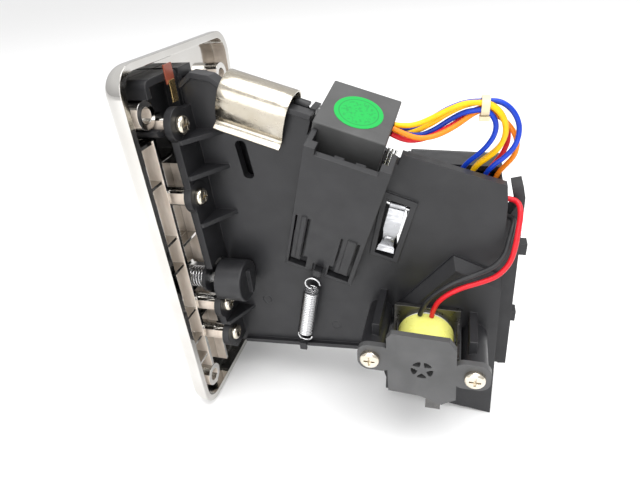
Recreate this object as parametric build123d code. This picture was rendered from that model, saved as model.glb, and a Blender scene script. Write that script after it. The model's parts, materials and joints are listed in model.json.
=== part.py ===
from build123d import *
import os
from math import cos, hypot, radians, sin, tan

# Electronic comparison coin acceptor, millimetres.
# Origin: centre of the four panel bolt holes, in the plane where the bezel's rim meets the panel.
# +X to the right seen from the front, +Y into the machine, +Z up.

# ---- driving dimensions ----
BEZEL_W = 67.0
BEZEL_H = 127.0
BEZEL_MID_Z = 2.0
BEZEL_DEPTH = 8.0
RIM = 2.2
FLOOR_Y = -5.0
BOLT_X = 25.0
BOLT_Z = 51.0
BOLT_R = 2.3
POST_R = 3.2
POST_X = 18.3
POST_Z = (46.3, 22.9, -19.9, -33.7)
FAR_POST_X = -21.0
FAR_POST_Y = 6.8
FAR_POST_Z = (40.0, -14.0)
FLANGE_Y = 5.0
FLANGE_LEAN = 0.0345
FLANGE_T = 2.4
FLANGE_X = 21.6
GUSSET_Z = (41.6, 30.2, 13.7, -27.1)
RAMP = 18.0
PLATE_X0 = 6.6
PLATE_X1 = 10.0
GATE_X0 = 0.6
GATE_X1 = 3.0
TOP_V = 58.2
RAIL_V = 26.5
SLOT_Z0 = 24.0
SLOT_Z1 = 57.0
SLOT_W = 3.8
SLOT_X = (GATE_X1 + PLATE_X0) / 2
LEAN = 17.0
CARRIAGE_FOOT = (12.0, 30.2, -4.5)
CARRIAGE_W = 24.0
CARRIAGE_L = 51.4
BOX_TOP = 55.4
BOX_NEAR = -8.2
PIN_ROW = (21.2, 22.2, 23.2)
PAWL_PIN = (8.6, 68.4, 18.2)
BUTTON_X = 17.5
BUTTON_Z = -9.5
HUB_R = 7.3
HUB_Y0 = 8.4
HUB_Y1 = 18.0
SEAT_Y = 2.6
SOL_Y = 79.0
SOL_Z = -25.4
SOL_R = 9.2
PLUNGER_TRAVEL = 3.6
VENT_R = 3.4
FLAP_Y = -6.5
FLAP_Z = -25.6
COVER_X = 32.0
PILLARS = ((63.2, -21.8), (94.4, -24.6))
PAD_X = 14.0
HEADER_Z = 21.4
WIRE_END_Z = HEADER_Z + 0.25
WIRE_D = 1.5
LEAD_D = 1.6

# Unit vectors of the coin ramp (u runs rearward and down, v is its upward normal), as (Y, Z).
RU = (cos(radians(RAMP)), -sin(radians(RAMP)))
RV = (sin(radians(RAMP)), cos(radians(RAMP)))
PARTS = {}


def flange_y(z):
    """Front face of the main plate's flange, which leans a little towards the bezel at the top."""
    return FLANGE_Y - FLANGE_LEAN * z


def uv(u, v):
    """Point (Y, Z) at u along the ramp and v above the origin."""
    return (u * RU[0] + v * RV[0], u * RU[1] + v * RV[1])


def yz(points, x0, x1, rounding=0):
    """Prism of a (Y, Z) outline between two X values."""
    face = make_face(Polyline(*points, close=True))
    if rounding:
        face = fillet(face.vertices(), rounding)
    return extrude(Plane.YZ.offset(x0) * face, amount=x1 - x0)


def block(x0, x1, y0, y1, z0, z1):
    """Box between two corners."""
    return Pos((x0 + x1) / 2, (y0 + y1) / 2, (z0 + z1) / 2) * Box(x1 - x0, y1 - y0, z1 - z0)


def rod_x(x0, x1, y, z, r):
    """Cylinder along X."""
    return Pos((x0 + x1) / 2, y, z) * Rot(0, 90, 0) * Cylinder(r, x1 - x0)


def rod_y(y0, y1, x, z, r):
    """Cylinder along Y."""
    return Pos(x, (y0 + y1) / 2, z) * Rot(90, 0, 0) * Cylinder(r, y1 - y0)


def ramp_block(x0, x1, u0, u1, v0, v1):
    """Box aligned with the coin ramp."""
    return yz([uv(u0, v0), uv(u1, v0), uv(u1, v1), uv(u0, v1)], x0, x1)


LEANED = Plane(
    origin=CARRIAGE_FOOT,
    x_dir=(0, RU[0], RU[1]),
    z_dir=(cos(radians(LEAN)), -sin(radians(LEAN)) * RV[0], -sin(radians(LEAN)) * RV[1]),
)


def leaned(x0, x1, y0, y1, z0, z1):
    """Box in the carriage's frame: x along the ramp, y up its slope, z out of its face."""
    return LEANED * Pos((x0 + x1) / 2, (y0 + y1) / 2, (z0 + z1) / 2) * Box(x1 - x0, y1 - y0, z1 - z0)


def leaned_rod(x, y, z0, z1, r):
    """Cylinder along the normal of the carriage's face."""
    return LEANED * Pos(x, y, (z0 + z1) / 2) * Cylinder(r, z1 - z0)


def save(name, shape):
    """Write one named sub-part."""
    PARTS[name] = shape
    export_step(shape, "parts/" + name + ".step")


def pan_head(depth, shank_r, shank_l, head_r, head_h):
    """Pan-head screw along +Z, seated on z = 0, with a cross recess."""
    head = Pos(0, 0, head_h / 2) * Cylinder(head_r, head_h)
    head = fillet(head.edges().sort_by(Axis.Z)[-1], head_h * 0.6)
    cross = Pos(0, 0, head_h - depth / 2) * (Box(head_r * 1.1, 0.7, depth) + Box(0.7, head_r * 1.1, depth))
    return head - cross + Pos(0, 0, -shank_l / 2) * Cylinder(shank_r, shank_l)


# ---- bezel ----
def front_bezel():
    low = BEZEL_MID_Z - BEZEL_H / 2
    high = BEZEL_MID_Z + BEZEL_H / 2
    half = BEZEL_W / 2
    outer = block(-half, half, -BEZEL_DEPTH, 0, low, high)
    outer = fillet(outer.edges().filter_by(Axis.Y), 8.0)
    outer = fillet(outer.faces().sort_by(Axis.Y)[0].edges(), 6.8)
    tray = block(-half + RIM, half - RIM, FLOOR_Y, 1, low + RIM, high - RIM)
    tray = fillet(tray.edges().filter_by(Axis.Y), 6.0)
    body = outer - tray
    for x in (24.0, -24.0):
        body += block(x - 0.7, x + 0.7, FLOOR_Y - 1, -0.2, low + 5.5, high - 22)
    body += block(11.3, 12.5, FLOOR_Y - 1, -1.2, low + 6, high - 34)
    for z in (43.0, 30.5, 11.0, 0.5, -18.5, -30.5, -40.0):
        body += block(24.0, half - 1.6, FLOOR_Y - 0.4, -0.6, z - 0.5, z + 0.5)
        body += block(-half + 1.6, -24.0, FLOOR_Y - 0.4, -0.6, z - 0.5, z + 0.5)
    for z in (36.0, 5.5, -24.5):
        body += block(12.0, 24.0, FLOOR_Y - 1, -1.4, z - 0.5, z + 0.5)
    for z in POST_Z:
        body += rod_y(FLOOR_Y - 1, flange_y(z) - 0.1, POST_X, z, POST_R)
    for z in FAR_POST_Z:
        body += rod_y(FLOOR_Y - 1, FAR_POST_Y, FAR_POST_X, z, POST_R)
    for x in (-BOLT_X, BOLT_X):
        for z in (-BOLT_Z, BOLT_Z):
            body += rod_y(FLOOR_Y - 1, 0, x, z, 4.2)
            body -= rod_y(-BEZEL_DEPTH - 1, 1, x, z, BOLT_R)
    body -= block(SLOT_X - SLOT_W / 2, SLOT_X + SLOT_W / 2, -BEZEL_DEPTH - 1, 0, SLOT_Z0, SLOT_Z1)
    body -= rod_y(-BEZEL_DEPTH - 1, 0, BUTTON_X, BUTTON_Z, 5.2)
    body -= rod_y(FLOOR_Y, 0, BUTTON_X, BUTTON_Z, 6.4)
    body -= block(-15.4, 4.2, -BEZEL_DEPTH - 1, 0, -47.4, -22.6)
    body -= rod_x(-16.7, 5.5, FLAP_Y, FLAP_Z, 0.9)
    for z in POST_Z:
        body -= rod_y(flange_y(z) - 8.5, flange_y(z) + 1, POST_X, z, 1.25)
    for z in FAR_POST_Z:
        body -= rod_y(FAR_POST_Y - 9.5, FAR_POST_Y + 1, FAR_POST_X, z, 1.25)
    return body


def coin_entry_guide():
    body = block(8.6, 26.0, FLOOR_Y + 0.1, 2.5, 44.2, 60.5)
    body = fillet(body.edges().filter_by(Axis.Y), 2.5)
    body += block(1.0, 8.6, FLOOR_Y + 0.1, 3.0, 57.4, 60.4)
    body += block(1.0, 2.6, FLOOR_Y + 0.1, 8.5, 30.0, 58.0)
    body += block(7.2, 9.0, FLOOR_Y + 0.1, 3.0, 30.0, 58.0)
    body -= block(10.5, 24.0, -1.5, 4, 46.0, 58.5)
    body -= rod_y(-6, 4, BOLT_X, BOLT_Z, 4.6)
    body -= rod_y(-6, 4, POST_X, POST_Z[0], POST_R + 0.3)
    return body


def entry_strip():
    return block(11.4, 15.6, 2.55, 3.0, 57.2, 62.6)


def entry_contact():
    return block(12.2, 15.2, 3.02, 3.4, 51.9, 58.2)


# Top front corner of the main plate, as (Y, Z).
NOSE = ((3.6, 56.4), (8.0, 59.6), (14.0, 58.4))


# ---- main plate: outer half of the coin channel, flange, carriage saddle, solenoid pillars ----
def plate_outline():
    front = [(flange_y(-44.9) + 0.4, -44.9), NOSE[0], NOSE[1], NOSE[2], uv(0, TOP_V)]
    top = [uv(51.5, TOP_V), uv(52.3, 54.0), (66.4, 36.4), (99.0, 26.8)]
    rear = [(99.8, 20.3), (103.2, -62.0), (65.2, -57.0), (60.5, -40.8)]
    return front + top + rear


def saddle():
    """Wedge that carries the sensor carriage, with the sample coin's pocket in its face."""
    side = make_face(Polyline((-2.4, 3.0), (-2.4, 46.0), (-19.0, 46.0), (-5.0, 3.0), close=True))
    end = Plane(origin=LEANED.origin, x_dir=LEANED.z_dir, z_dir=-LEANED.x_dir)
    wedge = Pos(0, 2 * RU[0], 2 * RU[1]) * extrude(end * side, amount=-18.2)
    return wedge - leaned(4.0, 20.0, 24.0, 60.0, -8.0, -2.0)


def flange_sheet(x0, x1, z0, z1, extra=0):
    """Leaning sheet of the flange between two X and two Z values."""
    front = [(flange_y(z0), z0), (flange_y(z1), z1)]
    rear = [(flange_y(z1) + FLANGE_T + extra, z1), (flange_y(z0) + FLANGE_T + extra, z0)]
    return yz(front + rear, x0, x1)


def flange():
    plate = flange_sheet(PLATE_X0, FLANGE_X - 3.0, -41.0, 50.0)
    plate += flange_sheet(FLANGE_X - 4.0, FLANGE_X, -27.5, 42.0)
    for z in POST_Z:
        plate += rod_y(flange_y(z), flange_y(z) + FLANGE_T, POST_X, z, 5.2)
    plate -= rod_y(FLANGE_Y - 4, FLANGE_Y + 6, BUTTON_X, BUTTON_Z, HUB_R + 0.35)
    for z in POST_Z:
        plate -= rod_y(FLANGE_Y - 4, FLANGE_Y + 7, POST_X, z, 1.7)
    return plate


def gusset(z):
    """Web between the flange and the plate."""
    y = flange_y(z) + 1
    web = Polyline(
        (PLATE_X1 - 1, y),
        (FLANGE_X - 0.3, y),
        (FLANGE_X - 0.3, y + FLANGE_T - 0.2),
        (PLATE_X1, 15.0),
        (PLATE_X1 - 1, 15.0),
        close=True,
    )
    return extrude(Plane.XY.offset(z - 0.7) * make_face(web), amount=1.4)


def edge_ribs():
    """Raised lips along the plate's top and bottom edges."""
    lip = ramp_block(PLATE_X1 - 0.5, PLATE_X1 + 1.4, -0.3, 29.0, TOP_V - 1.6, TOP_V)
    nose = list(NOSE) + [uv(0, TOP_V), uv(0, TOP_V - 1.6)] + [(y, z - 1.7) for y, z in NOSE[::-1]]
    lip += yz(nose, PLATE_X1 - 0.5, PLATE_X1 + 1.4)
    foot = [(9.2, -44.7), (60.5, -40.8), (60.5, -39.2), (9.2, -43.1)]
    return lip + yz(foot, PLATE_X1 - 0.5, PLATE_X1 + 1.6)


def slanted_slot():
    slot = yz([(17.8, 38.6), (21.4, 38.6), (23.0, 26.0), (19.4, 26.0)], PLATE_X0 - 1, PLATE_X1 + 1)
    return fillet(slot.edges().filter_by(Axis.X), 1.5)


def spring_hook():
    hook = block(PLATE_X1 - 1, 15.6, 33.2, 35.8, -39.6, -38.0)
    return hook + block(14.6, 15.6, 33.2, 35.8, -41.0, -38.0)


def leaf_frame():
    frame = yz([(64.2, 24.0), (74.6, 20.4), (68.6, -1.6), (59.6, 1.4)], PLATE_X1 - 0.5, PLATE_X1 + 1.0)
    hole = yz([(65.4, 21.4), (72.4, 19.0), (67.2, 0.0), (61.4, 2.0)], PLATE_X0 - 1, PLATE_X1 + 3)
    return frame - hole, hole


def solenoid_pad():
    """Raised wall under the solenoid, with a sloped edge."""
    pad = yz([(65.2, -57.0), (103.2, -62.0), (100.6, -3.0), (86.0, 3.0), (66.0, -22.0)], PLATE_X1 - 1, PAD_X)
    return chamfer(pad.faces().sort_by(Axis.X)[-1].edges().filter_by(lambda e: e.center().Z > -20), 3.0)


def pillars():
    body = Part()
    for (y, z), side in zip(PILLARS, (-1, 1)):
        post = rod_x(PLATE_X1 - 1, COVER_X, y, z, 4.0)
        post += block(PLATE_X1 - 1, COVER_X - 4, y - side * 0.9 - 1.2, y - side * 0.9 + 1.2, z, z + 8.5)
        body += post - rod_x(COVER_X - 11, COVER_X + 1, y, z, 1.3)
    return body


def main_plate():
    body = yz(plate_outline(), PLATE_X0, PLATE_X1)
    body += flange()
    for z in GUSSET_Z:
        body += gusset(z)
    body += edge_ribs()
    body -= slanted_slot()
    body += saddle()
    frame, hole = leaf_frame()
    body += frame
    body -= hole
    body += solenoid_pad()
    body += pillars()
    body += spring_hook()
    body += leaned(20.0, 24.2, 37.4, 40.4, -16.5, -9.2)
    body -= leaned(-3.0, 25.0, 44.0, 70.0, -34.0, -8.0)
    body -= rod_x(0, 20, SOL_Y, SOL_Z, 5.4)
    body -= pawl_rod(-4.6, 4.6, 0.6)
    for x in PIN_ROW:
        body -= leaned_rod_y(x, 38.8, 41.0, -11.6, 0.35)
    return body


def pawl_rod(a, b, r):
    """Cylinder across the window, a and b from its middle."""
    along = Vector(0, 0.946, -0.324).normalized()
    middle = Vector(*PAWL_PIN) + along * (a + b) / 2
    return Plane(origin=tuple(middle), z_dir=tuple(along)) * Cylinder(r, b - a)


def leaned_rod_y(x, y0, y1, z, r):
    """Cylinder up the slope of the carriage's face."""
    return LEANED * Pos(x, (y0 + y1) / 2, z) * Rot(90, 0, 0) * Cylinder(r, y1 - y0)


def coin_rail():
    return ramp_block(GATE_X1 + 0.3, PLATE_X0 - 0.02, 3.0, 48.0, RAIL_V - 2.4, RAIL_V)


# ---- gate: inner half of the channel, hung from a pin under the clip ----
PIN_U0 = 1.5
PIN_U1 = 27.0
PIN_X = 1.8
PIN_V = 57.0
CLIP_U0 = -0.9
CLIP_W = 21.4


def ramp_rod(u0, u1, x, v, r):
    """Cylinder along the ramp."""
    y, z = uv((u0 + u1) / 2, v)
    return Plane(origin=(x, y, z), x_dir=(1, 0, 0), z_dir=(0, RU[0], RU[1])) * Cylinder(r, u1 - u0)


def gate_plate():
    outline = [uv(4.2, 55.0), uv(24.3, 55.0), uv(45.0, 54.0), (66.0, 32.0), (69.0, -36.0), (11.0, -40.0), (11.0, 46.0)]
    body = yz(outline, GATE_X0, GATE_X1)
    for u in (4.2, 12.0, 19.8):
        knuckle = ramp_rod(u, u + 4.5, PIN_X, PIN_V, 1.75) + ramp_block(GATE_X0, GATE_X1, u, u + 4.5, 54.5, PIN_V)
        body += knuckle - ramp_rod(u - 1, u + 6, PIN_X, PIN_V, 0.95)
    for u in (14.0, 26.0, 38.0):
        body += ramp_block(GATE_X0 - 1.4, GATE_X0 + 0.2, u, u + 1.4, -8.0, 45.0)
    for v in (2.0, 20.0, 38.0):
        body += ramp_block(GATE_X0 - 1.4, GATE_X0 + 0.2, 8.0, 46.0, v, v + 1.4)
    return body - rod_x(-4, 4, *uv(33.0, 30.0), 6.2)


def gate_pin():
    return ramp_rod(PIN_U0 - 0.5, PIN_U1 + 0.5, PIN_X, PIN_V, 0.9)


def gate_brackets():
    """Ears that hold the pin's ends, fixed to the main plate."""
    ears = Part()
    for u in (PIN_U0 - 0.3, PIN_U1 - 1.6):
        ears += ramp_block(GATE_X0 - 0.6, PLATE_X0 - 0.02, u, u + 1.9, 55.4, 58.6)
    return ears - ramp_rod(PIN_U0 - 2, PIN_U1 + 2, PIN_X, PIN_V, 0.9)


def gate_coil():
    core = rod_x(-4.4, GATE_X0 + 1.6, *uv(33.0, 30.0), 6.1)
    return core - rod_x(-5, -1.5, *uv(33.0, 30.0), 4.6) + rod_x(-4.4, 0, *uv(33.0, 30.0), 2.0)


# ---- bent sheet ----
def strip_outline(points, t):
    """Closed outline of a strip of thickness t, to the left of a line of points."""
    left = []
    for i, (x, y) in enumerate(points):
        x0, y0 = points[max(i - 1, 0)]
        x1, y1 = points[min(i + 1, len(points) - 1)]
        d = hypot(x1 - x0, y1 - y0)
        left.append((x - (y1 - y0) / d * t, y + (x1 - x0) / d * t))
    return list(points) + left[::-1]


def spring_clip():
    """U-shaped spring clip over the top edges of both plates: profile in (X, v)."""
    back = [(-1.3, 49.0), (-1.3, 56.0)]
    over = [(5.7 + 7.2 * cos(radians(a)), 55.4 + 5.8 * sin(radians(a))) for a in range(160, -11, -10)]
    front = [(12.6, 52.2), (11.6, 49.4), (10.9, 47.8), (11.6, 46.4), (13.0, 45.2)]
    outline = strip_outline(back + over + front, 0.6)
    y, z = uv(CLIP_U0, 0)
    profile = Plane(origin=(0, y, z), x_dir=(1, 0, 0), z_dir=(0, -RU[0], -RU[1]))
    return extrude(profile * make_face(Polyline(*outline, close=True)), amount=-CLIP_W)


def coin_pawl():
    """Bent leaf hanging in the window, profile in (distance down the window, X from the pin)."""
    line = [(0.9, 0.6), (3.0, 1.5), (5.0, 2.2), (9.4, 2.3), (12.4, 1.2), (14.6, 0.6), (16.2, 1.9)]
    down = Vector(0, -0.233, -0.972).normalized()
    plane = Plane(origin=PAWL_PIN, x_dir=tuple(down), z_dir=tuple(down.cross(Vector(1, 0, 0))))
    sheet = extrude(plane * make_face(Polyline(*strip_outline(line, 0.5), close=True)), amount=2.5, both=True)
    return sheet + pawl_rod(-2.5, 2.5, 1.25) - pawl_rod(-4, 4, 0.65)


def pawl_pin():
    return pawl_rod(-4.6, 4.6, 0.6)


# ---- sensor carriage ----
def sensor_carriage():
    w = CARRIAGE_W
    body = leaned(0, w, 0.4, CARRIAGE_L, -2.0, 0)
    body += leaned(0, 1.5, 16.0, CARRIAGE_L, -6.0, 0)
    body += leaned(w - 1.5, w, 16.0, CARRIAGE_L, -6.0, 0)
    body += leaned(0, 1.5, 40.0, 53.6, -7.8, 0)
    body += leaned(w - 1.5, w, 40.0, 53.6, -7.8, 0)
    body += leaned(0, 3.2, 50.5, 53.6, -3.0, 0)
    body += leaned(w - 3.2, w, 50.5, 53.6, -3.0, 0)
    body += leaned(8.2, 11.0, 49.6, 51.0, -3.2, -1.0)
    body += leaned(14.2, 17.0, 49.6, 51.0, -3.2, -1.0)
    for x0, x1, f0, f1, top in ((1.0, 5.8, 1.6, 4.9, 26.4), (16.4, 22.5, 17.0, 21.7, 22.6)):
        body -= leaned(x0, x1, 1.6, top, -3, 1)
        body += leaned(f0, f1, 4.8, top + 0.5, -2.0, 0)
        body += leaned(f0 + 1.5, f1 - 0.3, 6.0, top + 0.5, -0.5, 0.4)
    body -= leaned(5.6, 7.2, 1.6, 7.8, -3, 1)
    body -= leaned(15.0, 16.6, 1.6, 7.2, -3, 1)
    body -= leaned(9.6, 14.2, 0, 5.4, -0.9, 1)
    body += leaned(10.6, 13.2, 2.2, 4.2, -1.0, 2.4) + leaned(10.6, 13.2, 2.2, 5.2, 1.6, 2.6)
    return body


def coil_box():
    body = leaned(-0.5, 20.1, 44.2, BOX_TOP, -29.4, BOX_NEAR)
    body = fillet(body.edges(), 0.4)
    body -= leaned(1.0, 18.6, 43.0, BOX_TOP - 1.5, -14.6, BOX_NEAR - 1.5)
    return body - ramp_block(-2.2, PLATE_X1 + 0.5, 20, 60, 30, TOP_V + 0.5)


def box_coil():
    core = leaned_rod(9.8, 49.0, -14.2, -10.0, 4.5) - leaned_rod(9.8, 49.0, -15.0, -11.4, 3.6)
    return core + leaned_rod(9.8, 49.0, -14.2, -10.0, 1.6)


def sensor_pins():
    """Bare coil terminals standing in their block beside the box."""
    return Compound(children=[leaned_rod_y(x, 38.8, 52.5, -11.6, 0.35) for x in PIN_ROW])


def inspection_sticker():
    return LEANED * Pos(9.9, BOX_TOP + 0.05, -18.0) * Rot(90, 0, 0) * Cylinder(7.0, 0.1)


def carriage_spring():
    """Close-wound tension spring with a hooked loop at each end, drawn as its envelope."""
    top = Vector(14.0, 40.6, -8.6)
    low = Vector(13.3, 34.6, -37.6)
    run = (low - top).normalized()
    a = top + run * 5.4
    b = low - run * 4.4
    aside = run.cross(Vector(0, 1, 0)).normalized() * 2.1
    coil = Plane(origin=tuple((a + b) * 0.5), z_dir=tuple(run)) * (Cylinder(2.5, (b - a).length) - Cylinder(1.7, 90))
    for end, out in ((a, top), (b, low)):
        wire = (out - end).length + 0.6
        middle = (end + out) * 0.5
        coil += Plane(origin=tuple(middle + aside), z_dir=tuple(run)) * Cylinder(0.3, wire)
    return coil


# ---- return button ----
def return_button():
    cap = rod_y(-BEZEL_DEPTH - 4.5, FLOOR_Y + 0.5, BUTTON_X, BUTTON_Z, 4.9)
    cap = fillet(cap.faces().sort_by(Axis.Y)[0].edges(), 1.0)
    return cap + rod_y(FLOOR_Y + 0.05, FLOOR_Y + 1.4, BUTTON_X, BUTTON_Z, 6.0)


def button_shaft():
    return rod_y(FLOOR_Y + 1.4, HUB_Y1 - 2.0, BUTTON_X, BUTTON_Z, 2.0)


def plunger_hub():
    cup = rod_y(HUB_Y0, HUB_Y1, BUTTON_X, BUTTON_Z, HUB_R)
    cup = fillet(cup.faces().sort_by(Axis.Y)[-1].edges(), 0.6)
    cup -= rod_y(HUB_Y0 - 1, HUB_Y1 - 2.0, BUTTON_X, BUTTON_Z, HUB_R - 1.4)
    return cup + block(BUTTON_X - 0.7, BUTTON_X + 0.7, HUB_Y1 - 0.5, HUB_Y1 + 1.4, BUTTON_Z - 4.5, BUTTON_Z + 4.5)


def button_spring():
    ring = rod_y(FLOOR_Y + 1.45, SEAT_Y - 0.05, BUTTON_X, BUTTON_Z, 3.9)
    return ring - rod_y(FLOOR_Y, SEAT_Y, BUTTON_X, BUTTON_Z, 3.1)


def spring_seat():
    ring = rod_y(SEAT_Y, SEAT_Y + 1.2, BUTTON_X, BUTTON_Z, 5.0)
    ring += block(PLATE_X0 + 1, BUTTON_X - 3.0, SEAT_Y, SEAT_Y + 1.2, BUTTON_Z - 2, BUTTON_Z + 2)
    ring += block(PLATE_X0 + 1, PLATE_X0 + 3, SEAT_Y, flange_y(BUTTON_Z + 2) - 0.02, BUTTON_Z - 2, BUTTON_Z + 2)
    return ring - rod_y(0, 9, BUTTON_X, BUTTON_Z, 2.06)


# ---- solenoid ----
def solenoid_frame():
    """Bent steel yoke: back plate behind the coil and a cheek on each side."""
    y0, y1 = SOL_Y - 10.6, SOL_Y + 10.6
    body = block(PAD_X + 0.1, PAD_X + 1.6, y0, y1, SOL_Z - 11.6, SOL_Z + 10.4)
    for y in (y0, y1 - 0.8):
        body += block(PAD_X + 0.1, COVER_X - 1.0, y, y + 0.8, SOL_Z - 6.0, SOL_Z + 5.0)
    return body - rod_x(PAD_X - 1, PAD_X + 3, SOL_Y, SOL_Z, 4.0)


def solenoid_bobbin():
    body = rod_x(PAD_X + 1.7, COVER_X - 1.2, SOL_Y, SOL_Z, 5.0)
    body += rod_x(PAD_X + 1.7, PAD_X + 2.9, SOL_Y, SOL_Z, SOL_R - 0.6)
    body += rod_x(COVER_X - 2.4, COVER_X - 1.2, SOL_Y, SOL_Z, SOL_R - 0.6)
    return body - rod_x(PAD_X, COVER_X - 4.0, SOL_Y, SOL_Z, 3.6)


def solenoid_winding():
    ring = rod_x(PAD_X + 3.0, COVER_X - 2.5, SOL_Y, SOL_Z, SOL_R)
    return ring - rod_x(PAD_X, COVER_X, SOL_Y, SOL_Z, 5.05)


def solenoid_plunger():
    """Iron core with the collar that its return spring pushes on."""
    core = rod_x(7.2, COVER_X - 4.4 - PLUNGER_TRAVEL, SOL_Y, SOL_Z, 3.5)
    return core + rod_x(7.2, 8.25, SOL_Y, SOL_Z, 4.7)


def plunger_spring():
    return rod_x(8.3, PAD_X + 0.05, SOL_Y, SOL_Z, 4.6) - rod_x(0, 30, SOL_Y, SOL_Z, 3.8)


def accept_blade():
    """Tongue that closes the accept channel until the coil pulls it out of the way."""
    return block(GATE_X1 + 0.15, 7.15, SOL_Y - 4.2, SOL_Y + 4.2, SOL_Z - 1.1, SOL_Z + 1.1)


def clear_guard():
    """Clear plastic lip under the coil."""
    lip = block(18.0, 28.0, SOL_Y - 1.0, SOL_Y + 10.0, SOL_Z - 16.4, SOL_Z - 13.8)
    return fillet(lip.edges().filter_by(Axis.X), 0.8) + block(PAD_X, 18.5, SOL_Y, SOL_Y + 4.0, SOL_Z - 15.4, SOL_Z - 14.0)


def solenoid_cover():
    z = SOL_Z
    rim = [(-10.9, 12.2), (-9.5, 14.2), (7.5, 13.6), (9.7, 10.4), (10.7, -9.8), (6.4, -12.9), (-0.4, -10.2), (-10.2, -9.7)]
    body = yz([(SOL_Y + y, z + dz) for y, dz in rim], COVER_X, COVER_X + 2.0)
    for y, cz in PILLARS:
        near, far = (y - 4.0, SOL_Y - 9) if y < SOL_Y else (SOL_Y + 9, y + 4.6)
        arm = block(COVER_X, COVER_X + 2.0, near, far, cz - 5.0, cz + 5.0)
        body += fillet(arm.edges().filter_by(Axis.X), 3.4)
        body -= rod_x(COVER_X - 1, COVER_X + 3, y, cz, 1.7)
    for k in range(5):
        body -= star_opening(126 + 72 * k)
    return body


def star_opening(angle):
    """Opening between two points of the star and the ring round it."""
    corners = [(0, 1.35), (-27, VENT_R - 0.6)]
    corners += [(a, VENT_R) for a in (-23, -12, 0, 12, 23)]
    corners += [(27, VENT_R - 0.6)]
    outline = [(SOL_Y + r * cos(radians(angle + a)), SOL_Z + 1.1 + r * sin(radians(angle + a))) for a, r in corners]
    return yz(outline, COVER_X - 1, COVER_X + 3)


def solenoid_can():
    """Lower half-shell of the yoke, with its end tab."""
    ring = rod_x(PAD_X + 1.8, COVER_X - 0.6, SOL_Y, SOL_Z, SOL_R + 1.3) - rod_x(0, 40, SOL_Y, SOL_Z, SOL_R + 0.3)
    shell = ring - block(0, 40, SOL_Y - 20, SOL_Y + 20, SOL_Z - 6.5, SOL_Z + 20)
    return shell + block(28.2, 29.4, SOL_Y + 1.4, SOL_Y + 6.2, SOL_Z - 20.6, SOL_Z - SOL_R - 0.2)


# ---- electronics housing ----
HOUSING_X0 = -14.0
HOUSING_BOLTS = ((74.4, 23.2), (94.0, 23.4), (74.4, -48.6), (98.0, -51.2))


def housing_outline(grow):
    return [(70.6 - grow, 27.6 + grow), (98.4 + grow, 26.8 + grow), (101.8 + grow, -56.0 - grow), (70.6 - grow, -52.0 - grow)]


def pcb_housing():
    """Box for the electronics; the accept channel runs between its wall and the main plate."""
    body = yz(housing_outline(0), HOUSING_X0, GATE_X1)
    body -= yz(housing_outline(-1.6), HOUSING_X0 - 1, GATE_X1 - 1.6)
    body += yz([(97.0, 25.1), (98.6, 24.6), (101.8, -56.0), (100.2, -55.8)], GATE_X1 - 0.5, PLATE_X0 - 0.02)
    body += yz([(70.6, 25.0), (70.6, 33.4), (98.6, 24.8), (98.5, 22.0)], GATE_X1 - 1.6, GATE_X1)
    body += yz([(71.5, 33.1), (98.6, 24.8), (98.5, 23.1), (71.5, 31.4)], GATE_X1 - 0.5, PLATE_X0 - 0.02)
    for y, z in HOUSING_BOLTS:
        body += rod_x(HOUSING_X0, -9.75, y, z, 2.4) - rod_x(-20, 0, y, z, 1.1)
    return body - block(-3.7, 5.0, 82.0, 97.6, 22.4, 40.0) - block(-3.7, 5.0, 97.0, 101.0, 24.6, 40.0)


def pcb_cover():
    outline = [(70.0, 27.4), (98.2, 26.6), (102.4, -56.6), (70.0, -52.6)]
    body = yz(outline, HOUSING_X0 - 1.8, HOUSING_X0 - 0.02)
    for y, z in HOUSING_BOLTS:
        body -= rod_x(-20, 0, y, z, 1.2)
    return body


def pcb():
    return block(-9.6, -8.0, 73.0, 96.8, -48.0, 20.0)


def connector_header():
    """Header that the sensor wires end in."""
    return block(-7.98, 1.2, 83.6, 96.8, 17.0, HEADER_Z)


def output_header():
    shell = block(-7.98, -1.0, 76.0, 88.0, -47.0, -41.0)
    return shell - block(-6.6, -0.5, 77.2, 86.8, -48.0, -42.4)


def ic_chip():
    return block(-12.4, -9.62, 79.0, 89.0, -12.0, 8.0)


def capacitor():
    can = rod_x(-7.98, -0.6, 80.0, 8.0, 2.5)
    return fillet(can.edges().sort_by(Axis.X)[-1], 0.5)


def exit_sensors():
    """Light gate across the accept channel: source and receiver on the electronics side."""
    return Compound(children=[block(-7.98, GATE_X1 - 1.65, y, y + 3.4, -40.0, -36.0) for y in (77.0, 90.0)])


def housing_screws():
    screw = pan_head(0.9, 1.1, 5.0, 2.3, 1.4)
    return Compound(children=[Pos(HOUSING_X0 - 1.8, y, z) * Rot(0, -90, 0) * screw for y, z in HOUSING_BOLTS])


def strip_arm():
    outline = [(101.6, 21.0), (101.0, 23.6), (104.0, 24.4), (105.0, 20.5), (107.2, -46.0)]
    outline += [(104.6, -46.4), (102.2, -40.0), (100.0, 13.0), (103.0, 18.0)]
    body = yz(outline, -3.0, 4.2)
    for z in (2.0, -25.0):
        body += block(-1.0, 3.0, 105.5, 108.0, z - 2.0, z + 2.0)
    body += block(-3.0, 4.2, 101.45, 105.5, -46.0, -42.6)
    return body - rod_y(99, 109, 1.0, -16.0, 0.9)


def arm_pin():
    return rod_y(100.5, 106.2, 1.0, -16.0, 0.9)


# ---- return chute and flap ----
def return_chute():
    body = block(-17.4, 6.2, FLOOR_Y + 0.1, 10.2, -49.4, -21.0)
    return body - block(-15.8, 4.6, FLOOR_Y - 1, 11.0, -47.8, -22.6)


def reject_ramp():
    """Sloping floor under the channel that brings refused coins to the return chute."""
    return yz([(10.4, -46.6), (60.0, -42.6), (60.0, -41.2), (10.4, -45.2)], -14.0, PLATE_X0 - 0.02)


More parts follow.
